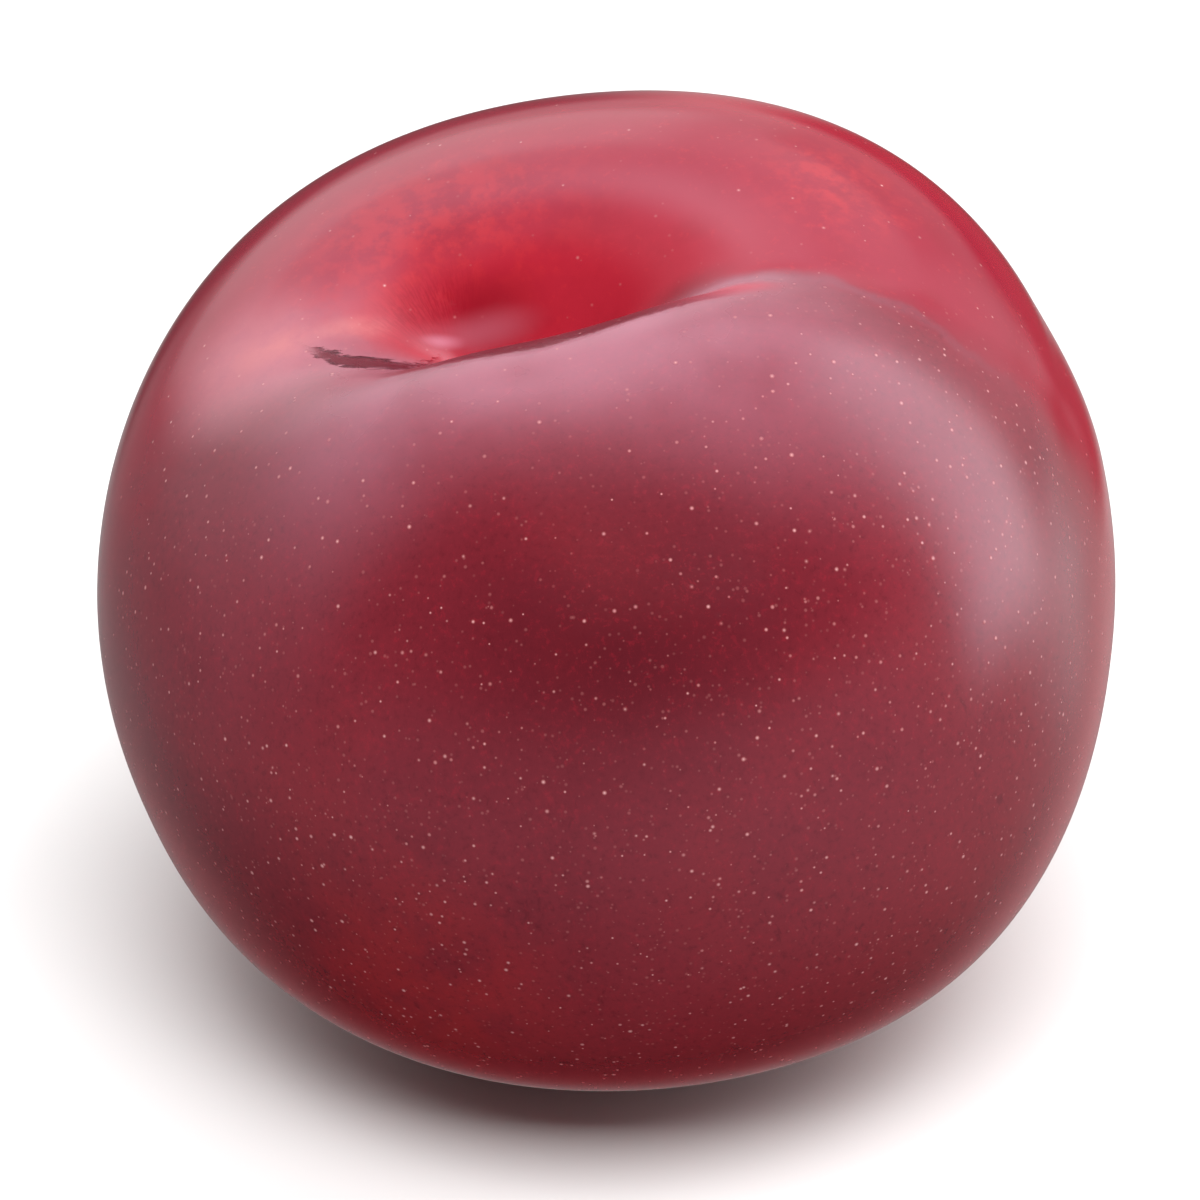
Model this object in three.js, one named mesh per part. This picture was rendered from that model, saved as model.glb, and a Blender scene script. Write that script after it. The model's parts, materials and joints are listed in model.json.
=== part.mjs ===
// A plum: a round, slightly flattened stone fruit with a deep stem hollow, and a
// suture that runs from the hollow down one side, between its two cheeks.
//
// The fruit is one solid. Its skin is one formula: for each direction from the
// fruit's middle, skinRadius() gives the distance to the skin. Directions are in
// the fruit's own axes: +Z is the stem end, +X the suture side, -Y the front cheek.
// The finished fruit is then tipped over a little, as it lies balanced on a small
// flat spot. The origin is on that spot, below the centre of mass, and +Z is up.
import * as THREE from 'three';

const { degToRad, radToDeg, lerp, smoothstep } = THREE.MathUtils;

// ---- Driving dimensions: millimetres and degrees ----------------------------

// The plain body, before any swell or hollow.
const BODY = {
  radius: 29.1,        // of its widest ring
  stemHeight: 0.83,    // height of the stem half, as a share of the radius
  tipHeight: 0.757,    // the same for the half that ends in the style scar
  fullness: 2.27,      // 2 is an ellipsoid, more has squarer shoulders
};

// Broad swells, and flats where the rise is negative. Each lies in one direction,
// "polar" down from the stem and "around" from the suture towards the back cheek.
const SWELLS = [
  { polar: 136, around: -38, reach: 38, rise: 3.7 },     // low on the front cheek
  { polar: 47, around: 34, reach: 38, rise: 2.2 },       // back cheek, by the suture
  { polar: 120, around: -21, reach: 40, rise: -2.7 },    // flat below the suture
  { polar: 53, around: 122, reach: 40, rise: 3.05 },     // back shoulder
  { polar: 22, around: -123, reach: 18, rise: 1.75 },    // lip of the front cheek
  { polar: 32, around: -15.5, reach: 18, rise: 1.1 },    // hump where that lip ends
  { polar: 161, around: 79, reach: 38, rise: 3.4 },      // round the tip
];

// The stem hollow: a funnel drawn out along the suture's line. Its wall is steep
// under the front cheek's lip, and slopes gently up the back cheek.
const HOLLOW = {
  depth: 7.4,
  middle: { x: -3.4, y: -0.75 },
  bend: 0.012,         // its far end bends to the back cheek, per mm
  openTowardsSuture: 9.9,
  openAwayFromSuture: 4.2,
  openToFront: 2.35,
  openToBack: 5,
  roundBottom: 1.36,
  turnoverAlong: 2,    // how softly the openings pass into each other
  turnoverAcross: 1,
};

// The suture: a crease by the hollow, a wide soft valley further down. It is
// steep on the front cheek's side too.
const SUTURE = {
  depth: 2.3,          // at its deepest
  deepestAt: 16,       // degrees from the stem
  fade: 13.8,
  restDepth: 0.15,     // what is left of it down to the tip
  widthAtHollow: 1.2,
  widthBelow: 5.5,
  widensFrom: 20,
  widensTo: 70,
  backToFront: 2.2,    // its width on the back cheek, to its width on the front one
  turnover: 1,
  bow: -7.4,           // how far it swings to the front cheek on the way down
  roundBottom: 0.5,
  softEnd: 2.5,        // how softly it starts at the stem and ends at the tip
};

const TIP_DIMPLE = { depth: 0.7, radius: 4 };

// How the fruit lies: turned about its stem, leant away from the suture's side,
// and nodded to the front. Its middle stands this far from the origin.
const LIE = { turn: 4.3, lean: -16.1, nod: 10.3 };
const MIDDLE = new THREE.Vector3(0.4, -0.7, 24.4);

// The mesh: rings from the stem to the tip, closer together near the stem.
const RINGS = 56;
const SECTORS = 72;
const CROWDING = 1.25;

// ---- The skin's formula -----------------------------------------------------

function directionAt(polar, around) {
  const s = Math.sin(degToRad(polar));
  const a = degToRad(around);
  return new THREE.Vector3(s * Math.cos(a), s * Math.sin(a), Math.cos(degToRad(polar)));
}

// A fold's section: 1 in its bottom line, falling away on both sides.
function fold(distance, roundBottom) {
  return Math.exp(roundBottom - Math.hypot(distance, roundBottom));
}

// From 0 to 1 across zero, over about twice the given length.
function softStep(length, softness) {
  return 0.5 + 0.5 * Math.tanh(length / softness);
}

function bodyRadius(direction) {
  const across = Math.hypot(direction.x, direction.y);
  const height = direction.z > 0 ? BODY.stemHeight : BODY.tipHeight;
  const power = across ** BODY.fullness + (Math.abs(direction.z) / height) ** BODY.fullness;
  return BODY.radius * power ** (-1 / BODY.fullness);
}

function swellRise(direction, swell) {
  const away = 1 - direction.dot(directionAt(swell.polar, swell.around));
  return swell.rise * Math.exp(-away / (1 - Math.cos(degToRad(swell.reach))));
}

function hollowDepth(direction) {
  const x = BODY.radius * direction.x - HOLLOW.middle.x;
  const bottomLine = HOLLOW.middle.y + HOLLOW.bend * Math.min(x, 0) ** 2;
  const y = BODY.radius * direction.y - bottomLine;
  const openAlong = lerp(HOLLOW.openAwayFromSuture, HOLLOW.openTowardsSuture,
    softStep(x, HOLLOW.turnoverAlong));
  const openAcross = lerp(HOLLOW.openToFront, HOLLOW.openToBack,
    softStep(y, HOLLOW.turnoverAcross));
  const stemSide = smoothstep(direction.z, 0, 0.25);
  return HOLLOW.depth * stemSide
    * fold(Math.hypot(x / openAlong, y / openAcross), HOLLOW.roundBottom);
}

function sutureDepth(direction) {
  const across = Math.hypot(direction.x, direction.y);
  const polar = radToDeg(Math.atan2(across, direction.z));
  const fading = Math.exp(-(((polar - SUTURE.deepestAt) / SUTURE.fade) ** 2));
  const offLine = BODY.radius * direction.y - SUTURE.bow * across ** 2;
  const frontWidth = lerp(SUTURE.widthAtHollow, SUTURE.widthBelow,
    smoothstep(polar, SUTURE.widensFrom, SUTURE.widensTo));
  const width = frontWidth * lerp(1, SUTURE.backToFront, softStep(offLine, SUTURE.turnover));
  const sutureSide = softStep(BODY.radius * direction.x, SUTURE.softEnd);
  return (SUTURE.depth * fading + SUTURE.restDepth) * sutureSide
    * fold(offLine / width, SUTURE.roundBottom);
}

function tipDimpleDepth(direction) {
  if (direction.z > 0) return 0;
  const across = BODY.radius * Math.hypot(direction.x, direction.y);
  return TIP_DIMPLE.depth * Math.exp(-((across / TIP_DIMPLE.radius) ** 2));
}

function skinRadius(direction) {
  const rises = SWELLS.map((swell) => swellRise(direction, swell));
  return bodyRadius(direction) + rises.reduce((sum, rise) => sum + rise, 0)
    - hollowDepth(direction) - sutureDepth(direction) - tipDimpleDepth(direction);
}

// ---- The solid --------------------------------------------------------------

const lie = new THREE.Quaternion()
  .setFromAxisAngle(new THREE.Vector3(1, 0, 0), degToRad(LIE.nod))
  .multiply(new THREE.Quaternion()
    .setFromAxisAngle(new THREE.Vector3(0, 1, 0), degToRad(LIE.lean)))
  .multiply(new THREE.Quaternion()
    .setFromAxisAngle(new THREE.Vector3(0, 0, 1), degToRad(LIE.turn)));

// Straight down, as the fruit's own axes see it when it lies on its flat spot.
const down = new THREE.Vector3(0, 0, -1).applyQuaternion(lie.clone().invert());

function skinPoint(direction) {
  const descent = direction.dot(down);
  const radius = skinRadius(direction);
  const onSurface = descent > 0 ? MIDDLE.z / descent : Infinity;
  return direction.clone().multiplyScalar(Math.min(radius, onSurface));
}

// One point at the stem, the rings, and one point at the tip, all joined.
function makeFruitGeometry() {
  const points = [skinPoint(directionAt(0, 0))];
  for (let ring = 1; ring < RINGS; ring += 1) {
    const polar = 180 * (ring / RINGS) ** CROWDING;
    for (let sector = 0; sector < SECTORS; sector += 1) {
      points.push(skinPoint(directionAt(polar, 360 * sector / SECTORS)));
    }
  }
  points.push(skinPoint(directionAt(180, 0)));

  const at = (ring, sector) => 1 + (ring - 1) * SECTORS + (sector % SECTORS);
  const tip = points.length - 1;
  const triangles = [];
  for (let sector = 0; sector < SECTORS; sector += 1) {
    triangles.push(0, at(1, sector), at(1, sector + 1));
    for (let ring = 1; ring < RINGS - 1; ring += 1) {
      const [a, b] = [at(ring, sector), at(ring + 1, sector)];
      const [c, d] = [at(ring + 1, sector + 1), at(ring, sector + 1)];
      triangles.push(a, b, c, a, c, d);
    }
    triangles.push(at(RINGS - 1, sector), tip, at(RINGS - 1, sector + 1));
  }

  const geometry = new THREE.BufferGeometry().setFromPoints(points);
  geometry.setIndex(triangles);
  geometry.computeVertexNormals();
  return geometry;
}

const skin = new THREE.MeshStandardMaterial({
  color: 0x731f29,
  roughness: 0.2,
  metalness: 0,
});

const plum = new THREE.Mesh(makeFruitGeometry(), skin);
plum.name = 'plum';
plum.quaternion.copy(lie);
plum.position.copy(MIDDLE);

const group = new THREE.Group();
group.add(plum);
export default group;
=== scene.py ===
# %% [markdown]
# # A plum
# A plum is one grown piece: a round stone fruit with a stem hollow, a suture down
# one side, and a thin waxy skin full of tiny pale dots. Here Geometry Nodes shape
# its skin, shader nodes finish it, and a few soft lights stand around it. All
# lengths are in metres, and the loaded frame holds the fruit's plain solid.

# %% Load the frame
import json
import math

import bpy
from mathutils import Matrix, Vector

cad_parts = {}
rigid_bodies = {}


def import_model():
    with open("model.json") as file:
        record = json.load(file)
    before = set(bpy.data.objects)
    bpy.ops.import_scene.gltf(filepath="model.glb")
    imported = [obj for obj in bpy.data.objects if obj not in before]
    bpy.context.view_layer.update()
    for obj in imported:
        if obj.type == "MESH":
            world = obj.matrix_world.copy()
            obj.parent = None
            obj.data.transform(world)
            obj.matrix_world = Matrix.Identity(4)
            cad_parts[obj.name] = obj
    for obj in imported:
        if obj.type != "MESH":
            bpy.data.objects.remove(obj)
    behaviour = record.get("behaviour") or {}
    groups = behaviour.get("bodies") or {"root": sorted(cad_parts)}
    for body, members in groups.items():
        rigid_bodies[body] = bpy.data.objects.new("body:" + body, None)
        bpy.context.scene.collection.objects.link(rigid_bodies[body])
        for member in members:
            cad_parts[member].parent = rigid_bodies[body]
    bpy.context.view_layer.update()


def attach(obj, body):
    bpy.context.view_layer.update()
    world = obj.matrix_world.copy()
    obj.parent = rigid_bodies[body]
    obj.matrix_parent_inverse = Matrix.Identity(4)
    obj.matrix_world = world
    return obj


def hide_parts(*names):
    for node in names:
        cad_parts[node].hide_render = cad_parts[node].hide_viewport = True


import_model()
MM = 0.001

# %% [markdown]
# ## How the fruit lies
# The rule for the skin is written in the fruit's own axes: +Z towards the stem, +X
# towards the suture, -Y towards the front cheek. The fruit then leans over until it
# balances on a small flat spot. The mesh and the skin's patterns both need that
# turn, so it is worked out once.

# %% The lie of the fruit
LEAN = math.radians(-16.1)
NOD = math.radians(10.3)
TURN = math.radians(4.3)
MIDDLE = Vector((0.4 * MM, -0.7 * MM, 24.4 * MM))

lie = (Matrix.Rotation(NOD, 3, "X") @ Matrix.Rotation(LEAN, 3, "Y")
       @ Matrix.Rotation(TURN, 3, "Z"))
lie_angles = lie.to_euler("XYZ")
print("lie, degrees:", [round(math.degrees(a), 1) for a in lie_angles])

# %% [markdown]
# ## Arithmetic with nodes
# A shape that follows a rule is a formula, and in a node tree a formula is a chain
# of Math nodes. Wired one by one, the chain hides the rule. So a small class stands
# for a number on its way through a tree, and arithmetic on it adds the Math nodes.

# %% A number on a wire
def feed(tree, socket, value):
    """Links a wire to an input, or sets the input to a plain value."""
    if isinstance(value, Wire):
        tree.links.new(value.socket, socket)
    else:
        socket.default_value = value


def maths(tree, operation, *values):
    node = tree.nodes.new("ShaderNodeMath")
    node.operation = operation
    for socket, value in zip(node.inputs, values):
        feed(tree, socket, value)
    return Wire(tree, node.outputs[0])


class Wire:
    def __init__(self, tree, socket):
        self.tree = tree
        self.socket = socket

    def __add__(self, other):
        return maths(self.tree, "ADD", self, other)

    def __sub__(self, other):
        return maths(self.tree, "SUBTRACT", self, other)

    def __rsub__(self, other):
        return maths(self.tree, "SUBTRACT", other, self)

    def __mul__(self, other):
        return maths(self.tree, "MULTIPLY", self, other)

    def __truediv__(self, other):
        return maths(self.tree, "DIVIDE", self, other)

    def __rtruediv__(self, other):
        return maths(self.tree, "DIVIDE", other, self)

    def __pow__(self, other):
        return maths(self.tree, "POWER", self, other)

    def of(self, operation, *others):
        """Any other Math operation, with this number as its first value."""
        return maths(self.tree, operation, self, *others)


print("wires ready")

# %% Nodes and groups
def add_node(tree, kind, inputs, **settings):
    """Adds a node with its settings, feeds its inputs, and gives its outputs as wires."""
    node = tree.nodes.new(kind)
    for name, value in settings.items():
        setattr(node, name, value)
    for key, value in inputs.items():
        feed(tree, node.inputs[key], value)
    return [Wire(tree, output) for output in node.outputs if output.enabled]


def read(tree, kind, output_name, **settings):
    """One output, as a wire, of a node that needs no inputs."""
    node = tree.nodes.new(kind)
    for name, value in settings.items():
        setattr(node, name, value)
    return Wire(tree, node.outputs[output_name])


def new_group(name, kind, inputs, outputs):
    """A node group with named sockets: the tree, and its inputs as wires by name."""
    tree = bpy.data.node_groups.new(name, kind)
    for label, socket_kind in inputs.items():
        tree.interface.new_socket(label, in_out="INPUT", socket_type=socket_kind)
    for label, socket_kind in outputs.items():
        tree.interface.new_socket(label, in_out="OUTPUT", socket_type=socket_kind)
    entry = tree.nodes.new("NodeGroupInput")
    return tree, {label: Wire(tree, entry.outputs[label]) for label in inputs}


def end_group(tree, results):
    """Sends results to the group's outputs, by name."""
    end = tree.nodes.new("NodeGroupOutput")
    for label, value in results.items():
        feed(tree, end.inputs[label], value)


def use_group(tree, group, inputs):
    """Puts a group in a tree and feeds it; gives its outputs as wires by name."""
    kind = "GeometryNodeGroup" if group.bl_idname == "GeometryNodeTree" else "ShaderNodeGroup"
    node = tree.nodes.new(kind)
    node.node_tree = group
    for label, value in inputs.items():
        feed(tree, node.inputs[label], value)
    return {output.name: Wire(tree, output) for output in node.outputs}


NUMBER = "NodeSocketFloat"
VECTOR = "NodeSocketVector"
print("node helpers ready")

# %% Functions for wires
def parts_of(vector):
    """The three parts of a vector wire."""
    return add_node(vector.tree, "ShaderNodeSeparateXYZ", {0: vector})


def hypotenuse(a, b):
    return (a * a + b * b).of("SQRT")


def soft_step(distance, softness):
    """From 0 to 1 across zero."""
    return (distance / softness).of("TANH") * 0.5 + 0.5


def ramp(value, start, end, low=0.0, high=1.0):
    """Smoothly from low to high while the value goes from start to end."""
    inputs = {"Value": value, "From Min": start, "From Max": end,
              "To Min": low, "To Max": high}
    return add_node(value.tree, "ShaderNodeMapRange", inputs,
                    interpolation_type="SMOOTHSTEP")[0]


def between(low, high, share):
    """Low where the share is 0, high where it is 1."""
    return share * (high - low) + low


print("functions ready")

# %% [markdown]
# ## The rule for the skin
# From the fruit's middle, each direction meets the skin once. So the fruit is a
# sphere whose radius changes with direction, and the rule gives that radius. It has
# six parts, each a node group: the plain body, a swell, the stem hollow, the suture,
# the dimple at the tip, and a scar. Sculpting could make the same form, but a rule
# can be measured, changed by one value, and repeated exactly.

# %% The plain body and its swells
def make_body_group():
    sockets = {"Direction": VECTOR, "Radius": NUMBER, "Stem height": NUMBER,
               "Tip height": NUMBER, "Fullness": NUMBER}
    tree, given = new_group("Plum body", "GeometryNodeTree", sockets, {"Radius": NUMBER})
    x, y, z = parts_of(given["Direction"])
    stem_side = z.of("GREATER_THAN", 0.0)
    height = given["Tip height"] + (given["Stem height"] - given["Tip height"]) * stem_side
    fullness = given["Fullness"]
    power = hypotenuse(x, y) ** fullness + (z.of("ABSOLUTE") / height) ** fullness
    end_group(tree, {"Radius": given["Radius"] / power ** (1.0 / fullness)})
    return tree


def make_swell_group():
    sockets = {"Direction": VECTOR, "Polar": NUMBER, "Around": NUMBER, "Reach": NUMBER,
               "Rise": NUMBER}
    tree, given = new_group("Swell", "GeometryNodeTree", sockets, {"Rise": NUMBER})
    polar = given["Polar"].of("RADIANS")
    around = given["Around"].of("RADIANS")
    x, y, z = parts_of(given["Direction"])
    level = x * around.of("COSINE") + y * around.of("SINE")
    facing = level * polar.of("SINE") + z * polar.of("COSINE")
    spread = 1.0 - given["Reach"].of("RADIANS").of("COSINE")
    end_group(tree, {"Rise": given["Rise"] * ((facing - 1.0) / spread).of("EXPONENT")})
    return tree


body_group = make_body_group()
swell_group = make_swell_group()
print("body:", len(body_group.nodes), "nodes; swell:", len(swell_group.nodes), "nodes")

# %% [markdown]
# The stem hollow and the suture share one section, a fold: deepest in its bottom
# line, rounded there, and falling away on both sides. In the hollow the distance is
# measured from a point, in the suture from a line. Both groups also give out where
# they are, because the skin's colours follow them.

# %% The stem hollow
def fold(distance, round_bottom):
    return (round_bottom - hypotenuse(distance, round_bottom)).of("EXPONENT")


def make_hollow_group():
    sockets = {"Direction": VECTOR, "Radius": NUMBER, "Depth": NUMBER, "Middle X": NUMBER,
               "Middle Y": NUMBER, "Bend": NUMBER, "Open towards suture": NUMBER,
               "Open away from suture": NUMBER, "Open to front": NUMBER,
               "Open to back": NUMBER, "Round bottom": NUMBER, "Turnover along": NUMBER,
               "Turnover across": NUMBER}
    tree, given = new_group("Stem hollow", "GeometryNodeTree", sockets,
                            {"Depth": NUMBER, "Funnel": NUMBER})
    x, y, z = parts_of(given["Direction"])
    x = x * given["Radius"] - given["Middle X"]
    bottom_line = given["Bend"] * x.of("MINIMUM", 0.0) ** 2 + given["Middle Y"]
    y = y * given["Radius"] - bottom_line
    open_along = between(given["Open away from suture"], given["Open towards suture"],
                         soft_step(x, given["Turnover along"]))
    open_across = between(given["Open to front"], given["Open to back"],
                          soft_step(y, given["Turnover across"]))
    distance = hypotenuse(x / open_along, y / open_across)
    funnel = fold(distance, given["Round bottom"]) * ramp(z, 0.0, 0.25)
    end_group(tree, {"Depth": funnel * given["Depth"], "Funnel": funnel})
    return tree


hollow_group = make_hollow_group()
print("hollow:", len(hollow_group.nodes), "nodes")

# %% The suture
def make_suture_group():
    sockets = {"Direction": VECTOR, "Radius": NUMBER, "Depth": NUMBER, "Deepest at": NUMBER,
               "Fade": NUMBER, "Rest depth": NUMBER, "Width at hollow": NUMBER,
               "Width below": NUMBER, "Widens from": NUMBER, "Widens to": NUMBER,
               "Back to front": NUMBER, "Turnover": NUMBER, "Bow": NUMBER,
               "Round bottom": NUMBER, "Soft end": NUMBER}
    tree, given = new_group("Suture", "GeometryNodeTree", sockets,
                            {"Depth": NUMBER, "Off line": NUMBER})
    x, y, z = parts_of(given["Direction"])
    across = hypotenuse(x, y)
    polar = across.of("ARCTAN2", z).of("DEGREES")
    past = (polar - given["Deepest at"]) / given["Fade"]
    depth = given["Depth"] * (0.0 - past * past).of("EXPONENT") + given["Rest depth"]
    off_line = y * given["Radius"] - given["Bow"] * across * across
    width = ramp(polar, given["Widens from"], given["Widens to"],
                 given["Width at hollow"], given["Width below"])
    back_side = soft_step(off_line, given["Turnover"])
    width = width * ((given["Back to front"] - 1.0) * back_side + 1.0)
    suture_side = soft_step(x * given["Radius"], given["Soft end"])
    section = fold(off_line / width, given["Round bottom"])
    end_group(tree, {"Depth": depth * suture_side * section, "Off line": off_line})
    return tree


suture_group = make_suture_group()
print("suture:", len(suture_group.nodes), "nodes")

# %% [markdown]
# At the tip, the dimple is where the flower stood. A dry scar is left in it, and a
# larger one at the bottom of the hollow, where the stem broke off. Both are round and
# corky, with a raised rim, so one group makes both.

# %% The tip dimple and the scars
def make_tip_group():
    sockets = {"Direction": VECTOR, "Radius": NUMBER, "Depth": NUMBER, "Dimple radius": NUMBER}
    tree, given = new_group("Tip dimple", "GeometryNodeTree", sockets, {"Depth": NUMBER})
    x, y, z = parts_of(given["Direction"])
    across = hypotenuse(x, y) * given["Radius"] / given["Dimple radius"]
    dimple = (0.0 - across * across).of("EXPONENT") * z.of("LESS_THAN", 0.0)
    end_group(tree, {"Depth": dimple * given["Depth"]})
    return tree


def make_scar_group():
    """A round scar with a raised rim. End is 1 for the stem's and -1 for the tip's."""
    sockets = {"Direction": VECTOR, "Radius": NUMBER, "Middle X": NUMBER, "Middle Y": NUMBER,
               "Scar radius": NUMBER, "Rise": NUMBER, "End": NUMBER}
    tree, given = new_group("Scar", "GeometryNodeTree", sockets,
                            {"Rise": NUMBER, "Scar": NUMBER})
    x, y, z = parts_of(given["Direction"])
    from_middle = hypotenuse(x * given["Radius"] - given["Middle X"],
                             y * given["Radius"] - given["Middle Y"])
    distance = from_middle / given["Scar radius"]
    on_this_end = (z * given["End"]).of("GREATER_THAN", 0.0)
    scar = ramp(distance, 1.2, 0.85) * on_this_end
    sunken_middle = ramp(distance, 0.2, 0.85, 0.3, 1.0)
    rise = scar * sunken_middle * given["Rise"]
    end_group(tree, {"Rise": rise, "Scar": scar})
    return tree


tip_group = make_tip_group()
scar_group = make_scar_group()
print("tip:", len(tip_group.nodes), "nodes; scar:", len(scar_group.nodes), "nodes")

# %% [markdown]
# ## The skin's mesh
# The main tree starts from a fine sphere of radius 1, whose points are the
# directions themselves. It works out the radius for each, moves the point there,
# and lays the fruit down. Where the fruit meets the table, a soft minimum lets the
# skin flow into the flat spot. Attributes keep where the hollow, the suture and the
# two scars are, for the finish.

# %% Sizes of this fruit
BODY = {"Radius": 29.1 * MM, "Stem height": 0.83, "Tip height": 0.757, "Fullness": 2.27}
SWELLS = {
    "low on the front cheek": {"Polar": 136, "Around": -38, "Reach": 38, "Rise": 3.7 * MM},
    "back cheek": {"Polar": 47, "Around": 34, "Reach": 38, "Rise": 2.2 * MM},
    "flat below the suture": {"Polar": 120, "Around": -21, "Reach": 40, "Rise": -2.7 * MM},
    "back shoulder": {"Polar": 53, "Around": 122, "Reach": 40, "Rise": 3.05 * MM},
    "lip of the front cheek": {"Polar": 22, "Around": -123, "Reach": 18, "Rise": 1.75 * MM},
    "hump where the lip ends": {"Polar": 32, "Around": -15.5, "Reach": 18, "Rise": 1.1 * MM},
    "round the tip": {"Polar": 161, "Around": 79, "Reach": 38, "Rise": 3.4 * MM},
}
HOLLOW = {"Depth": 7.4 * MM, "Middle X": -3.4 * MM, "Middle Y": -0.75 * MM,
          "Bend": 0.012 / MM, "Open towards suture": 9.9 * MM,
          "Open away from suture": 4.2 * MM, "Open to front": 2.35 * MM,
          "Open to back": 5 * MM, "Round bottom": 1.36, "Turnover along": 2 * MM,
          "Turnover across": 1 * MM}
SUTURE = {"Depth": 2.3 * MM, "Deepest at": 16, "Fade": 13.8, "Rest depth": 0.15 * MM,
          "Width at hollow": 1.2 * MM, "Width below": 5.5 * MM, "Widens from": 20,
          "Widens to": 70, "Back to front": 2.2, "Turnover": 1 * MM, "Bow": -7.4 * MM,
          "Round bottom": 0.5, "Soft end": 2.5 * MM}
TIP = {"Depth": 0.7 * MM, "Dimple radius": 4 * MM}
STEM_SCAR = {"Middle X": HOLLOW["Middle X"], "Middle Y": HOLLOW["Middle Y"],
             "Scar radius": 1.3 * MM, "Rise": 0.3 * MM, "End": 1}
STYLE_SCAR = {"Middle X": 0, "Middle Y": 0, "Scar radius": 0.5 * MM, "Rise": 0.15 * MM,
              "End": -1}
SPOT_SOFTNESS = 0.25 * MM   # over which the skin bends into the flat spot
SEGMENTS = 360
RINGS = 260
print("triangles to come:", 2 * SEGMENTS * (RINGS - 1))

# %% The skin's tree
def make_skin_tree():
    sockets = {"Geometry": "NodeSocketGeometry", "Segments": "NodeSocketInt",
               "Rings": "NodeSocketInt", "Radius": NUMBER, "Hollow depth": NUMBER,
               "Suture depth": NUMBER, "Spot softness": NUMBER,
               "Material": "NodeSocketMaterial"}
    tree, given = new_group("Plum skin", "GeometryNodeTree", sockets,
                            {"Geometry": "NodeSocketGeometry"})
    direction = read(tree, "GeometryNodeInputPosition", "Position")
    common = {"Direction": direction, "Radius": given["Radius"]}

    radius = use_group(tree, body_group, {**BODY, **common})["Radius"]
    for swell in SWELLS.values():
        rise = use_group(tree, swell_group, {"Direction": direction, **swell})["Rise"]
        radius = radius + rise
    hollow = use_group(tree, hollow_group,
                       {**HOLLOW, **common, "Depth": given["Hollow depth"]})
    suture = use_group(tree, suture_group,
                       {**SUTURE, **common, "Depth": given["Suture depth"]})
    tip = use_group(tree, tip_group, {**TIP, **common})
    radius = radius - hollow["Depth"] - suture["Depth"] - tip["Depth"]
    stem_scar = use_group(tree, scar_group, {**STEM_SCAR, **common})
    style_scar = use_group(tree, scar_group, {**STYLE_SCAR, **common})
    radius = radius + stem_scar["Rise"] + style_scar["Rise"]

    down = lie.transposed() @ Vector((0, 0, -1))
    descent = add_node(tree, "ShaderNodeVectorMath", {0: direction, 1: down},
                       operation="DOT_PRODUCT")[0]
    to_table = MIDDLE.z / descent.of("MAXIMUM", 0.01)
    radius = radius.of("SMOOTH_MIN", to_table, given["Spot softness"])

    ball = add_node(tree, "GeometryNodeMeshUVSphere",
                    {"Segments": given["Segments"], "Rings": given["Rings"], "Radius": 1.0})[0]
    attributes = {"hollow": hollow["Funnel"], "off_suture": suture["Off line"],
                  "scar": stem_scar["Scar"] + style_scar["Scar"]}
    for label, value in attributes.items():
        ball = add_node(tree, "GeometryNodeStoreNamedAttribute",
                        {"Geometry": ball, "Name": label, "Value": value},
                        data_type="FLOAT", domain="POINT")[0]
    place = add_node(tree, "ShaderNodeVectorMath", {0: direction, "Scale": radius},
                     operation="SCALE")[0]
    skin = add_node(tree, "GeometryNodeSetPosition", {"Geometry": ball, "Position": place})[0]
    skin = add_node(tree, "GeometryNodeTransform",
                    {"Geometry": skin, "Translation": MIDDLE, "Rotation": lie_angles})[0]
    skin = add_node(tree, "GeometryNodeRealizeInstances", {"Geometry": skin})[0]
    skin = add_node(tree, "GeometryNodeSetMaterial",
                    {"Geometry": skin, "Material": given["Material"]})[0]
    end_group(tree, {"Geometry": skin})
    return tree


skin_tree = make_skin_tree()
print("skin tree:", len(skin_tree.nodes), "nodes")

# %% Grow the skin
def grow(name, tree, values):
    """Runs a tree on an empty mesh, and gives the result as a plain mesh object."""
    seedling = bpy.data.objects.new("seedling", bpy.data.meshes.new("seedling"))
    bpy.context.scene.collection.objects.link(seedling)
    modifier = seedling.modifiers.new("nodes", "NODES")
    modifier.node_group = tree
    for item in tree.interface.items_tree:
        if item.in_out == "INPUT" and item.name in values:
            modifier[item.identifier] = values[item.name]
    evaluated = seedling.evaluated_get(bpy.context.evaluated_depsgraph_get())
    grown = bpy.data.objects.new(name, bpy.data.meshes.new_from_object(evaluated))
    grown.data.name = name
    bpy.data.objects.remove(seedling)
    bpy.context.scene.collection.objects.link(grown)
    for polygon in grown.data.polygons:
        polygon.use_smooth = True
    return grown


skin_finish = bpy.data.materials.new("plum_skin_finish")
skin = grow("skin", skin_tree, {
    "Segments": SEGMENTS, "Rings": RINGS, "Radius": BODY["Radius"],
    "Hollow depth": HOLLOW["Depth"], "Suture depth": SUTURE["Depth"],
    "Spot softness": SPOT_SOFTNESS, "Material": skin_finish})
print("skin:", len(skin.data.polygons), "faces;",
      [round(side / MM, 2) for side in skin.dimensions], "mm")

# %% [markdown]
# ## Where on the skin
# The skin's pattern grew with the fruit, so it is placed in the fruit's own axes, not
# in the table's. A Mapping node undoes the lie and counts in millimetres. From there
# each part of the pattern is a node group, which turns a place on the skin into a
# mask or a value.

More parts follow.
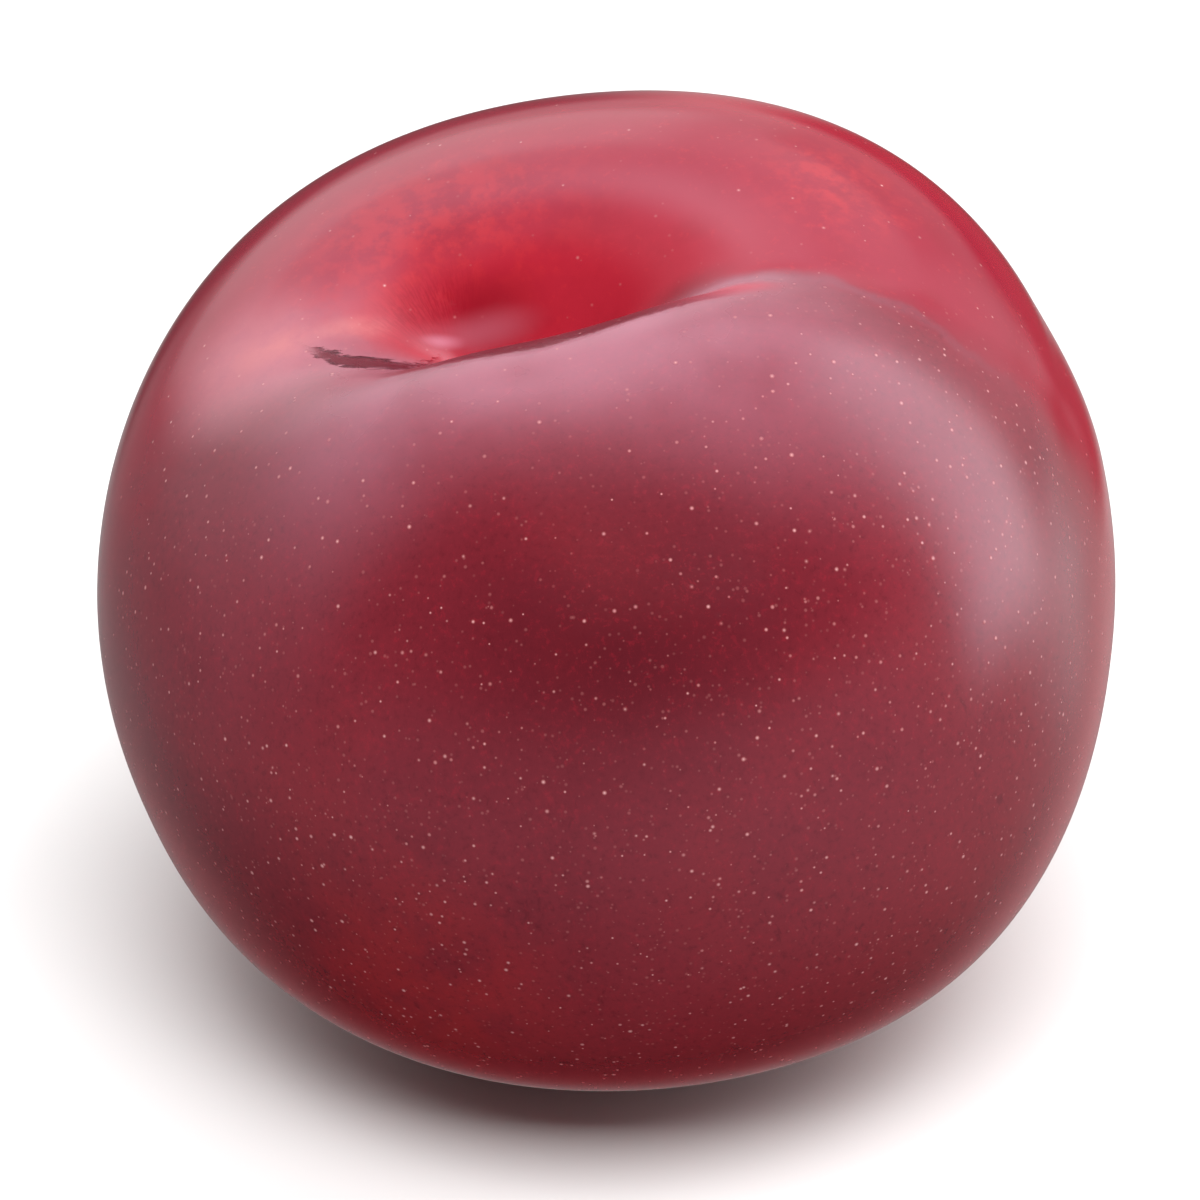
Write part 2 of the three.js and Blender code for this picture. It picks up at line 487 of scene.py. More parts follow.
# %% Place on the fruit
def make_place_group():
    tree, given = new_group("Place on the fruit", "ShaderNodeTree", {},
                            {"Position": VECTOR, "Polar": NUMBER})
    place = read(tree, "ShaderNodeTexCoord", "Object")
    position = add_node(tree, "ShaderNodeMapping",
                        {"Vector": place, "Location": MIDDLE, "Rotation": lie_angles,
                         "Scale": (MM, MM, MM)}, vector_type="TEXTURE")[0]
    direction = add_node(tree, "ShaderNodeVectorMath", {0: position}, operation="NORMALIZE")[0]
    polar = parts_of(direction)[2].of("ARCCOSINE").of("DEGREES")
    end_group(tree, {"Position": position, "Polar": polar})
    return tree


def clouds(place, scale, detail=2.0, roughness=0.5, distortion=0.0):
    """Soft noise, 0.5 on average. Scale is how many lumps fit in a millimetre."""
    return add_node(place.tree, "ShaderNodeTexNoise",
                    {"Vector": place, "Scale": scale, "Detail": detail,
                     "Roughness": roughness, "Distortion": distortion})[0]


def mix(low, high, share):
    """Colour low where the share is 0, colour high where it is 1."""
    factor, first, second = 0, 6, 7
    return add_node(share.tree, "ShaderNodeMix", {factor: share, first: low, second: high},
                    data_type="RGBA")[0]


place_group = make_place_group()
print("place group:", len(place_group.nodes), "nodes")

# %% [markdown]
# Some marks have one place only, such as the painted shade on the far wall of the hollow. Each
# is a soft patch: an ellipsoid round a point in the fruit, strongest in its middle. A list
# keeps them all, so that a patch can be moved or weakened without a search in the nodes.

# %% Patches
PATCHES = {
    # middle and reach along the fruit's axes, in millimetres, and strength
    # painted shade in the middle of the front cheek
    "painted shade in the middle of the front": ((3.5, -22.0, 16.0), (17.0, 13.0, 13.0), 0.9),
    "redder low left": ((-13.0, -25.0, 0.0), (11.0, 14.0, 13.0), 1.0),
    "sunny shoulder": ((18.8, 6.0, 20.2), (7.0, 7.0, 7.0), 0.6),
    # painted sheen and painted glints on the left shoulder
    "painted sheen on the shoulder": ((-14.5, 2.2, 22.0), (8.0, 7.0, 7.0), 0.3),
    "painted glint on the shoulder": ((-13.2, 2.3, 22.3), (3.6, 1.8, 4.0), 0.3),
    "painted glint by the mark": ((-8.9, 2.5, 22.0), (3.0, 1.3, 4.0), 0.45),
    "ruddy slope": ((-3.0, 8.0, 22.0), (13.0, 9.0, 8.0), 0.6),
    # painted shade on the hollow's far wall; the streaks on it are the skin's own
    "painted shade on the far wall": ((-1.6, 3.4, 20.5), (4.8, 2.2, 7.0), 0.9),
    "streaked wall": ((-4.6, 3.3, 21.0), (5.0, 3.6, 6.0), 0.7),
    # painted shade at the hollow's bottom, painted sheen and a painted glint on its floor, and
    # a painted shadow where the lip ends
    "painted shade at the bottom": ((-2.2, 2.0, 19.5), (6.0, 1.7, 7.0), 0.75),
    "painted sheen on the floor": ((-2.2, 2.2, 19.5), (4.5, 1.3, 7.0), 0.17),
    "painted glint on the floor": ((-4.3, 1.9, 20.0), (1.5, 0.55, 2.0), 0.35),
    "painted shadow at the end of the lip": ((9.4, -0.4, 20.4), (4.5, 1.3, 5.0), 0.4),
}


def patch(place, name):
    """A soft mask: a patch's strength in its middle, 0 from its reach on."""
    middle, reach, strength = PATCHES[name]
    away = add_node(place.tree, "ShaderNodeVectorMath", {0: place, 1: middle},
                    operation="SUBTRACT")[0]
    away = add_node(place.tree, "ShaderNodeVectorMath", {0: away, 1: reach},
                    operation="DIVIDE")[0]
    x, y, z = parts_of(away)
    return ramp((x * x + y * y + z * z).of("SQRT"), 1.0, 0.0) * strength


print("patches:", len(PATCHES))

# %% [markdown]
# ## The skin's pattern
# Lenticels are the pale dots: tiny pores closed with cork. Each is a small ball round
# a Voronoi point, and the skin cuts through the balls near it, so the dots come in
# all sizes. Flecks are small upright smears of pigment, drawn where a stretched noise
# is high. Streaks are the same pigment pulled out round the stem.

# %% Lenticels
def make_lenticel_group():
    sockets = {"Position": VECTOR, "Spacing": NUMBER, "Radius": NUMBER, "Share": NUMBER}
    tree, given = new_group("Lenticels", "ShaderNodeTree", sockets,
                            {"Dot": NUMBER, "Core": NUMBER})
    spacing = given["Spacing"]
    distance, chance = add_node(tree, "ShaderNodeTexVoronoi",
                                {"Vector": given["Position"], "Scale": 1.0 / spacing})[:2]
    presence, size, strength = parts_of(chance)
    radius = given["Radius"] * between(0.55, 1.25, size)
    distance = distance * spacing
    shown = presence.of("LESS_THAN", given["Share"]) * between(0.45, 1.0, strength)
    end_group(tree, {"Dot": ramp(distance, radius, radius * 0.3) * shown,
                     "Core": ramp(distance, radius * 0.55, 0.0) * shown})
    return tree


lenticel_group = make_lenticel_group()
print("lenticels:", len(lenticel_group.nodes), "nodes")

# %% Flecks and streaks
def make_fleck_group():
    sockets = {"Position": VECTOR, "Size": NUMBER, "Share": NUMBER}
    tree, given = new_group("Flecks", "ShaderNodeTree", sockets, {"Fleck": NUMBER})
    x, y, z = parts_of(given["Position"])
    upright = add_node(tree, "ShaderNodeCombineXYZ", {0: x, 1: y, 2: z * 0.5})[0]
    scale = 1.0 / given["Size"]
    fine = clouds(upright, scale, 3.0, 0.7, 0.5)
    wide = clouds(given["Position"], scale * 0.15, 2.0) - 0.5
    level = 0.72 - given["Share"] * 0.3 - wide * 0.35
    end_group(tree, {"Fleck": ramp(fine, level, level + 0.14)})
    return tree


def make_streak_group():
    sockets = {"Position": VECTOR, "Count": NUMBER}
    tree, given = new_group("Streaks", "ShaderNodeTree", sockets, {"Streak": NUMBER})
    x, y, _ = parts_of(given["Position"])
    x = x - HOLLOW["Middle X"] / MM
    y = y - HOLLOW["Middle Y"] / MM
    away = hypotenuse(x, y)
    turn = add_node(tree, "ShaderNodeCombineXYZ",
                    {0: x / away * given["Count"], 1: y / away * given["Count"],
                     2: away * 1.1})[0]
    end_group(tree, {"Streak": clouds(turn, 1.0, 4.0, 0.65, 0.5)})
    return tree


fleck_group = make_fleck_group()
streak_group = make_streak_group()
print("flecks:", len(fleck_group.nodes), "nodes; streaks:", len(streak_group.nodes), "nodes")

# %% [markdown]
# Where the front cheek folds over into the hollow, its lip ends in a crease. The crease's
# shade is painted: it starts as a ragged dark mark, a curved stroke of fine strands, and runs
# on as a dark line along the lip's edge, with painted deep red shade inside. The lip's edge is
# where the suture's line would be, swung towards the front. Painted shade alone would still
# shine, so the slope tips the skin there, and it mirrors less light.

# %% The crease by the lip
# Places and widths are in millimetres, along the fruit's axes. Each pair below says
# from where to where, along +X, a part fades in or out.
CREASE = {"Mark X": -7.6, "Mark Y": -0.7, "Mark bend": 0.146, "Half width": 0.48,
          "Lip turns at": 2.4, "Lip slope": 0.21, "Lip softness": 0.35,
          "Lip bend": 0.028, "Lip off line": -6.3}
MARK_STARTS, MARK_ENDS = (-12.0, -10.2), (-4.4, -5.6)
LINE_STARTS, LINE_ENDS = (-8.0, -5.0), (13.5, 7.0)
INSIDE_STARTS, INSIDE_ENDS = (-5.5, -3.0), (11.0, 6.0)


def draw_mark(tree, given):
    """The mark's mask, and the distance from its middle line."""
    x, y, z = parts_of(given["Position"])
    strands = add_node(tree, "ShaderNodeCombineXYZ", {0: x * 0.7, 1: y * 2.4, 2: z * 0.7})[0]
    strands = clouds(strands, 1.2, 4.0, 0.7, 0.4) - 0.5
    along = x - given["Mark X"]
    side = y - along * along * given["Mark bend"] - given["Mark Y"]
    width = ramp(x, -12.0, -9.8, 0.1, given["Half width"]) * ramp(x, -8.4, -5.5, 1.0, 0.4)
    mark = ramp(side.of("ABSOLUTE") + strands * 1.7, width + 0.22, width - 0.14)
    return mark * ramp(x, *MARK_STARTS) * ramp(x, *MARK_ENDS), side


def beyond_lip(given):
    """How far past the lip's edge, into the hollow, a place is."""
    x = parts_of(given["Position"])[0]
    past = x - given["Lip turns at"]
    rise = past * given["Lip slope"]
    edge = rise + hypotenuse(rise, given["Lip softness"]) + given["Lip off line"]
    edge = edge + past.of("MINIMUM", 0.0) ** 2 * given["Lip bend"]
    ragged = clouds(given["Position"], 1.1, 4.0, 0.7, 0.6) - 0.5
    return given["Off line"] - edge + ragged * 0.6


def make_crease_group():
    sockets = {"Position": VECTOR, "Off line": NUMBER, **{name: NUMBER for name in CREASE}}
    results = {"Mark": NUMBER, "Line": NUMBER, "Inside": NUMBER, "Slope": NUMBER}
    tree, given = new_group("Crease", "ShaderNodeTree", sockets, results)
    x, _, z = parts_of(given["Position"])
    on_top = ramp(z, 10.0, 15.0)
    # The mark, the line and the inside are masks for painted shade.
    mark, side = draw_mark(tree, given)
    mark = mark * on_top
    beyond = beyond_lip(given)
    line = ramp(beyond, ramp(x, -5.0, 0.0, -2.0, -1.6), -0.8) * ramp(beyond, 1.8, 0.2)
    line = line * ramp(x, *LINE_STARTS) * ramp(x, *LINE_ENDS) * on_top
    inside = ramp(beyond, -0.5, 1.0) * on_top
    inside = inside * ramp(x, *INSIDE_STARTS) * ramp(x, *INSIDE_ENDS)
    slope = (mark * side + line * (beyond + 1.0)) * 2.2
    end_group(tree, {"Mark": mark, "Line": line, "Inside": inside, "Slope": slope})
    return tree


crease_group = make_crease_group()
print("crease:", len(crease_group.nodes), "nodes")

# %% [markdown]
# ## The skin's colours
# The two cheeks took the sun differently: the front one is burgundy, the back one is crimson
# round the stem. They meet at the suture, sharply by the hollow and softly elsewhere. Most
# colours are what white light would bring back from each part of the skin, so they are darker
# than they look under the lamp; some also paint shade, sheen, glints, rim light and bounced
# light, and say so where they are used.

# %% Colours
BURGUNDY = (0.115, 0.009, 0.015, 1)
# dark mottling, and painted shade
DARK_WINE_AND_PAINTED_SHADE = (0.055, 0.004, 0.007, 1)
CRIMSON = (0.195, 0.007, 0.020, 1)
HOLLOW_RED = (0.25, 0.009, 0.019, 1)
# dark red mottling and streaks, and painted shade
DARK_RED_AND_PAINTED_SHADE = (0.165, 0.004, 0.010, 1)
# painted glints
PAINTED_GLINT_PINK = (0.42, 0.13, 0.11, 1)
ORANGE_RED = (0.32, 0.016, 0.021, 1)
# red mottling, and painted light bounced up from the table
RED_PIGMENT_AND_PAINTED_BOUNCE = (0.19, 0.010, 0.012, 1)
# painted red bounce light
PAINTED_BOUNCE_RED = (0.60, 0.03, 0.03, 1)
# painted rim light
PAINTED_RIM_LIGHT_RED = (0.60, 0.02, 0.04, 1)
# painted shade of the crease
CREASE_SHADE_MAROON = (0.09, 0.002, 0.010, 1)
GREY_MAUVE = (0.12, 0.040, 0.055, 1)
CORK_PALE = (0.34, 0.11, 0.11, 1)
CORK_CORE = (0.60, 0.40, 0.40, 1)
SCAR_BROWN = (0.24, 0.12, 0.07, 1)
# bloom, and painted sheen and glints
BLOOM_AND_PAINTED_SHEEN = (0.47, 0.20, 0.275, 1)
print("colours ready")

# %% The two cheeks
def find_back_cheek(position, polar, off_line, suture_side):
    """Where the back cheek is, and the distance from its border."""
    border = between(5.0, ramp(polar, 60.0, 88.0, 0.3, 4.5), suture_side)
    softness = between(5.5, ramp(polar, 32.0, 64.0, 0.8, 3.6), suture_side)
    uneven = (clouds(position, 0.3, 3.0) - 0.5) * softness * 1.5
    line = off_line + uneven - border
    return ramp(line, 0.0 - softness, softness), line


def colour_front_cheek(position, wide, lumps):
    z = parts_of(position)[2]
    colour = mix(BURGUNDY, DARK_WINE_AND_PAINTED_SHADE, ramp(lumps, 0.38, 0.7) * 0.12)
    # Painted shade in the middle of the front cheek, where it mirrors the dim front of the
    # room.
    colour = mix(colour, DARK_WINE_AND_PAINTED_SHADE, patch(position, "painted shade in the middle of the front"))
    low_left = patch(position, "redder low left") * ramp(lumps, 0.75, 0.35)
    # Red mottling, and redder towards the bottom: that part is painted light bounced up from
    # the table.
    redder = ramp(wide, 0.5, 0.75) * 0.3 + low_left + ramp(z, 8.0, -10.0) * 0.4
    return mix(colour, RED_PIGMENT_AND_PAINTED_BOUNCE, redder.of("MINIMUM", 1.0) * 0.7)


def colour_cheeks(position, polar, off_line, funnel):
    """The ground colour of the whole skin, and where the back cheek is."""
    wide = clouds(position, 0.07, 2.0)
    lumps = clouds(position, 0.3, 4.0, 0.6)
    suture_side = ramp(parts_of(position)[0], -13.0, -4.0)
    back_cheek, line = find_back_cheek(position, polar, off_line, suture_side)
    by_stem = ramp(polar + (wide - 0.5) * 60.0, 125.0, 85.0)

    front = colour_front_cheek(position, wide, lumps)
    back = mix(CRIMSON, HOLLOW_RED, ramp(funnel, 0.25, 0.5))
    back = mix(back, DARK_RED_AND_PAINTED_SHADE, ramp(lumps, 0.45, 0.7) * 0.25)
    colour = mix(front, back, back_cheek * by_stem)
    on_line = ramp(line.of("ABSOLUTE"), 0.9, 0.1) * suture_side * ramp(polar, 72.0, 46.0)
    colour = mix(colour, GREY_MAUVE, on_line * ramp(funnel, 0.5, 0.35) * 0.4)
    return colour, back_cheek


print("cheeks ready")

# %% [markdown]
# Seen close, neither cheek is even. Fine grain and flecks of pigment break up the front one,
# and orange-red patches glow through the back one where the flesh under the skin is ripest.
# High on the left shoulder, a painted sheen and two painted glints are laid on as colour.

# %% Grain, ripe patches and painted glints
DARK_FLECKS = {"Size": 0.5, "Share": 0.35}
RED_FLECKS = {"Size": 0.4, "Share": 0.45}


def add_grain(tree, colour, position, back_cheek):
    front_cheek = 1.0 - back_cheek
    dark = use_group(tree, fleck_group, {"Position": position, **DARK_FLECKS})["Fleck"]
    colour = mix(colour, DARK_WINE_AND_PAINTED_SHADE, dark * front_cheek * 0.4)
    red = use_group(tree, fleck_group, {"Position": position, **RED_FLECKS})["Fleck"]
    colour = mix(colour, HOLLOW_RED, red * front_cheek * 0.14)
    colour = mix(colour, ORANGE_RED, red * back_cheek * 0.25)
    grain = clouds(position, 2.2, 4.0, 0.75)
    colour = mix(colour, DARK_WINE_AND_PAINTED_SHADE, ramp(grain, 0.5, 0.72) * front_cheek * 0.4)
    return mix(colour, HOLLOW_RED, ramp(grain, 0.46, 0.3) * front_cheek * 0.2)


def add_ripe_patches_and_painted_glints(colour, position):
    mottle = clouds(position, 0.8, 4.0, 0.65)
    sunny = patch(position, "sunny shoulder") * ramp(mottle, 0.38, 0.66)
    colour = mix(colour, ORANGE_RED, sunny)
    # Painted sheen on the left shoulder, and two warm spots that are painted glints on a
    # lighter patch of skin.
    pink = patch(position, "painted sheen on the shoulder")
    colour = mix(colour, BLOOM_AND_PAINTED_SHEEN, pink)
    warm = pink + patch(position, "painted glint on the shoulder")
    warm = warm + patch(position, "painted glint by the mark")
    warm = warm * ramp(mottle, 0.25, 0.6, 0.55, 1.0)
    return mix(colour, PAINTED_GLINT_PINK, warm.of("MINIMUM", 1.0) * 0.8)


print("grain ready")

# %% [markdown]
# Bloom is a thin mauve haze of wax, and here it is painted sheen as well. It is laid on
# thickest on the front cheek by the lip, where the sheen of the lights falls, and ends at the
# suture; right along the lip's edge it is a painted highlight. It lies on the skin as one more
# colour, and makes the gloss softer too.

# %% Bloom and painted sheen
def find_bloom_and_painted_sheen(position, polar, off_line, back_cheek):
    """How thick the bloom and its painted sheen are."""
    x = parts_of(position)[0]
    front_cheek = 1.0 - back_cheek
    towards_lip = ramp(off_line, -15.5, -8.0) * ramp(polar, 95.0, 55.0)
    across = ramp(x, 20.0, 8.0, 0.1, 1.0) * ramp(x, -17.5, -5.5, 0.1, 1.0)
    # Bloom with painted sheen, thickest below the lip.
    bloom_and_sheen = towards_lip * front_cheek * across * 0.24 + 0.004
    # A painted highlight along the lip's edge.
    on_lip = ramp(off_line, -9.5, -5.5) * ramp(x, -6.0, 3.0) * ramp(polar, 58.0, 42.0)
    bloom_and_sheen = bloom_and_sheen + on_lip * front_cheek * 0.07
    return bloom_and_sheen * ramp(clouds(position, 0.12, 3.0), 0.25, 0.6, 0.7, 1.2)


print("bloom ready")

# %% [markdown]
# The hollow's far wall is given painted shade, and streaks of the skin's own dark red run down
# it to the stem. A trace of bloom is left on its floor, with a painted sheen on it and one
# painted glint, and a painted shadow lies where the lip ends. The crease's painted shade goes
# over all of that, because it is the deepest line.

# %% The hollow and its crease
STREAK_COUNT = 46.0


def colour_hollow(tree, colour, position, crease, front_cheek):
    """The streaked far wall with painted shade, the floor with painted sheen and a painted
    glint, and the crease under the lip with its painted shade.
    """
    # Painted shade inside the crease, past the lip's edge.
    colour = mix(colour, DARK_RED_AND_PAINTED_SHADE, crease["Inside"] * front_cheek * 0.85)
    ruddy = ramp(clouds(position, 0.7, 4.0, 0.65), 0.4, 0.62)
    colour = mix(colour, ORANGE_RED, patch(position, "ruddy slope") * ruddy)
    # Painted shade on the far wall; the streaks below are the skin's own colour.
    colour = mix(colour, DARK_RED_AND_PAINTED_SHADE, patch(position, "painted shade on the far wall"))
    streaks = use_group(tree, streak_group,
                        {"Position": position, "Count": STREAK_COUNT})["Streak"]
    streaks = ramp(streaks, 0.42, 0.6) * patch(position, "streaked wall")
    colour = mix(colour, DARK_RED_AND_PAINTED_SHADE, streaks)
    # Painted shade at the bottom, painted sheen and a painted glint on the floor over a trace
    # of bloom, and a painted shadow where the lip ends.
    colour = mix(colour, DARK_RED_AND_PAINTED_SHADE, patch(position, "painted shade at the bottom"))
    colour = mix(colour, BLOOM_AND_PAINTED_SHEEN, patch(position, "painted sheen on the floor"))
    colour = mix(colour, BLOOM_AND_PAINTED_SHEEN, patch(position, "painted glint on the floor"))
    colour = mix(colour, DARK_WINE_AND_PAINTED_SHADE, patch(position, "painted shadow at the end of the lip"))
    # Painted shade of the crease: the ragged mark, then the dark line along the lip's edge.
    colour = mix(colour, CREASE_SHADE_MAROON, crease["Mark"] * 0.97)
    return mix(colour, CREASE_SHADE_MAROON, crease["Line"] * 0.9)


print("hollow ready")

# %% [markdown]
# The skin's colour also paints two lights. The light that leaves the fruit for the table is
# made redder than the skin looks, a painted red bounce in the table's shadow: the Light Path
# node knows such light, and the base colour changes for it. At the fruit's outline the Layer
# Weight node adds some red where the skin turns away, low on the fruit and on the suture's
# side: a painted rim light.

# %% Painted bounce and rim light
def add_painted_rim_light(tree, colour, position, polar):
    turned_away = read(tree, "ShaderNodeLayerWeight", "Facing")
    x = parts_of(position)[0]
    glowing = ramp(polar, 60.0, 90.0).of("MAXIMUM", ramp(x, 5.0, 14.0))
    # Painted rim light: redder where the skin turns away.
    return mix(colour, PAINTED_RIM_LIGHT_RED, ramp(turned_away, 0.6, 0.92) * glowing * 0.3)


def add_painted_table_bounce(tree, colour):
    from_table = read(tree, "ShaderNodeLightPath", "Is Diffuse Ray")
    # Painted red bounce: a redder base colour for the light that goes on to the table.
    return mix(colour, PAINTED_BOUNCE_RED, from_table * 0.5)


print("glow ready")

# %% [markdown]
# The lenticels lie over all other colours, in two sizes: full ones with a pale core,
# and young ones that hardly show. They are few by the stem and on the back cheek.

# %% Dots on the skin
DOTS = {"Spacing": 0.68, "Radius": 0.138}
YOUNG_DOTS = {"Spacing": 0.47, "Radius": 0.11}


def add_dots(tree, colour, position, polar, back_cheek):
    """The colour with its dots, and where the full dots are."""
    share = ramp(polar, 15.0, 80.0, 0.3, 1.0) * between(1.0, 0.25, back_cheek)
    place = {"Position": position, "Share": share}
    full = use_group(tree, lenticel_group, {**place, **DOTS})
    young = use_group(tree, lenticel_group, {**place, **YOUNG_DOTS})
    colour = mix(colour, CORK_PALE, young["Dot"] * 0.28)
    colour = mix(colour, CORK_PALE, full["Dot"] * 0.75)
    return mix(colour, CORK_CORE, full["Core"] * 0.6), full["Dot"]


print("dots ready")

# %% [markdown]
# ## The skin's gloss
# Ripe skin is smooth and waxy, smoother on the back cheek than on the front one, and
# dull only where bloom or cork covers it. A Bump node adds the relief that is too low
# for the mesh: shallow waves, raised dots, the crease's slope and the rough cork.

# %% Gloss and relief
FRONT_ROUGHNESS = 0.21
BACK_ROUGHNESS = 0.13
SHEEN_OF_WAX = (0.95, 0.83, 1.0, 1)


def find_roughness(position, back_cheek, bloom_and_sheen, dots, scar):
    roughness = between(FRONT_ROUGHNESS, BACK_ROUGHNESS, back_cheek)
    roughness = roughness + bloom_and_sheen * 0.3 + dots * 0.15 + scar * 0.5
    return roughness + (clouds(position, 0.5, 3.0) - 0.5) * 0.05


def find_relief(position, dots, crease, scar):
    """Height in millimetres."""
    waves = clouds(position, 0.9, 2.0) * 0.004 + clouds(position, 6.0, 2.0) * 0.0006
    relief = waves + dots * 0.008 + crease["Slope"] * -0.22
    return relief + scar * clouds(position, 3.0, 3.0) * 0.15


print("gloss ready")

# %% Finish the skin
def make_skin_finish(material):
    material.use_nodes = True
    tree = material.node_tree
    place = use_group(tree, place_group, {})
    position, polar = place["Position"], place["Polar"]
    funnel, off_line, scar = [
        read(tree, "ShaderNodeAttribute", "Fac", attribute_name=name)
        for name in ("hollow", "off_suture", "scar")]
    off_line = off_line / MM

    colour, back_cheek = colour_cheeks(position, polar, off_line, funnel)
    colour = add_grain(tree, colour, position, back_cheek)
    colour = add_ripe_patches_and_painted_glints(colour, position)
    bloom_and_sheen = find_bloom_and_painted_sheen(position, polar, off_line, back_cheek)
    # Bloom with painted sheen.
    colour = mix(colour, BLOOM_AND_PAINTED_SHEEN, bloom_and_sheen)
    crease = use_group(tree, crease_group,
                       {"Position": position, "Off line": off_line, **CREASE})
    colour = colour_hollow(tree, colour, position, crease, 1.0 - back_cheek)
    colour = mix(colour, SCAR_BROWN, scar)
    colour = add_painted_rim_light(tree, colour, position, polar)
    colour, dots = add_dots(tree, colour, position, polar, back_cheek)
    colour = add_painted_table_bounce(tree, colour)

    bump = add_node(tree, "ShaderNodeBump",
                    {"Strength": 1.0, "Distance": MM,
                     "Height": find_relief(position, dots, crease, scar)})[0]
    surface = tree.nodes["Principled BSDF"]
    feed(tree, surface.inputs["Base Color"], colour)
    feed(tree, surface.inputs["Roughness"],
         find_roughness(position, back_cheek, bloom_and_sheen, dots, scar))
    feed(tree, surface.inputs["Normal"], bump)
    surface.inputs["Specular Tint"].default_value = SHEEN_OF_WAX


make_skin_finish(skin_finish)
print("finish:", len(skin_finish.node_tree.nodes), "nodes")

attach(skin, "root")
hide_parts("plum")

# %% [markdown]
# ## Table
# The fruit lies on a plain white table. In the studio it is so well lit that it
# turns pure white, and only the soft shadow at the fruit's foot is left of it. The
# glossy skin would mirror all that white, so the table isn't shown to reflections:
# there the skin mirrors the lower half of the room instead, which the world makes.

# %% Table
TABLE_SIDE = 6.0
TABLE_WHITE = (0.565, 0.564, 0.563, 1)


def make_table(side):
    mesh = bpy.data.meshes.new("table")
    half = side / 2
    corners = [(-half, -half, 0), (half, -half, 0), (half, half, 0), (-half, half, 0)]
    mesh.from_pydata(corners, [], [(0, 1, 2, 3)])
    table = bpy.data.objects.new("table", mesh)
    bpy.context.scene.collection.objects.link(table)
    finish = bpy.data.materials.new("table_white")
    finish.use_nodes = True
    surface = finish.node_tree.nodes["Principled BSDF"]
    surface.inputs["Base Color"].default_value = TABLE_WHITE
    surface.inputs["Roughness"].default_value = 0.9
    mesh.materials.append(finish)
    table.visible_glossy = False
    return table


table = make_table(TABLE_SIDE)
print("table:", TABLE_SIDE, "m across")

# %% [markdown]
# ## Light
# Gloss is only as good as what it mirrors. So the studio is a dome round the fruit,
# and soft panels are painted on it: a tall one at the right with a low one by its
# foot, which give the long sheen down that side, one overhead, and a dim one behind. A
# lamp has hard edges, and a painted panel can fade out as slowly as a photographer's
# silk. Azimuth 0 is the front, 90 the right.

# %% A soft panel on the dome
def direction_to(azimuth, elevation):
    a, e = math.radians(azimuth), math.radians(elevation)
    return Vector((math.sin(a) * math.cos(e), -math.cos(a) * math.cos(e), math.sin(e)))


def make_panel_group():
    sockets = {"Direction": VECTOR, "Towards": VECTOR, "Across": VECTOR, "Up": VECTOR,
               "Half width": NUMBER, "Half height": NUMBER, "Softness": NUMBER,
               "Brightness": NUMBER}
    tree, given = new_group("Soft panel", "ShaderNodeTree", sockets, {"Light": NUMBER})
    towards, across, up = [
        add_node(tree, "ShaderNodeVectorMath", {0: given["Direction"], 1: given[axis]},
                 operation="DOT_PRODUCT")[0] for axis in ("Towards", "Across", "Up")]
    along = across.of("ARCTAN2", towards).of("DEGREES").of("ABSOLUTE")
    above = up.of("ARCSINE").of("DEGREES").of("ABSOLUTE")
    inside = 1.0
    for angle, half in ((along, given["Half width"]), (above, given["Half height"])):
        fade = given["Softness"] * 0.5
        inside = ramp(angle, half + fade, half - fade) * inside
    end_group(tree, {"Light": inside * given["Brightness"]})
    return tree


def panel(tree, direction, azimuth, elevation, half_width, half_height, softness,
          brightness, roll):
    towards = direction_to(azimuth, elevation)
    across = direction_to(azimuth + 90, 0)
    up = across.cross(towards)
    turn = Matrix.Rotation(math.radians(roll), 3, towards)
    return use_group(tree, panel_group, {
        "Direction": direction, "Towards": towards, "Across": turn @ across, "Up": turn @ up,
        "Half width": half_width, "Half height": half_height, "Softness": softness,
        "Brightness": brightness})["Light"]


panel_group = make_panel_group()
print("panel:", len(panel_group.nodes), "nodes")

# %% [markdown]
# Between the panels the room is dim. Its floor is grey, a little lighter at the right
# and behind, and darker straight below. A white cloth hangs over the fruit and down
# behind it: it gets lighter upwards and to the back, most at the left, and ends just
# in front of the fruit, which leaves the middle of the front cheek dark. Black cards
# hide parts of the cloth. A card is a panel too, but one that takes light away, and it
# gives the far side of the fruit its dark rim. The camera sees plain white instead of
# the room.

# %% Room
PANELS = {
    # azimuth, elevation, half width, half height and softness in degrees, brightness,
    # and roll in degrees
    "right": (102.5, 28, 16, 37, 21, 3.9, -8),
    "right foot": (120, -13, 12, 8, 18, 1.2, -20),
    "overhead": (-168, 71, 15, 12, 20, 1.4, 0),
    "back strip": (-155, 20, 22, 14, 8, 0.5, -30),
}
BLACK_CARDS = {
    "back right": (160, -9, 14, 13, 8, 0.85, 0),
    "high back right": (156, 12, 14, 16, 6, 0.35, 0),
    "back left": (-167, -10, 12, 11, 6, 0.7, 0),
}
FLOOR_LIGHT = 0.27
CLOTH_LIGHT = 1.5


def floor_glow(x, y, elevation):
    even = ramp(elevation, -62.0, -15.0)
    right = ramp(elevation, -85.0, -20.0) * ramp(x, -0.4, 0.7)
    behind = ramp(y, 0.1, 0.6) * ramp(elevation, -72.0, -40.0) * ramp(elevation, -15.0, -30.0)
    above = ramp(elevation, 28.0, 3.0, 0.15, 1.0)
    return (even + right + behind * 0.4) * above


def cloth_glow(x, y, elevation):
    overhead = ramp(y, -0.4, 0.0) * 0.5
    behind = ramp(y, 0.0, 0.45) * ramp(x, 0.0, -0.5, 0.4, 0.7)
    return (overhead + behind) * ramp(elevation, -8.0, 45.0)


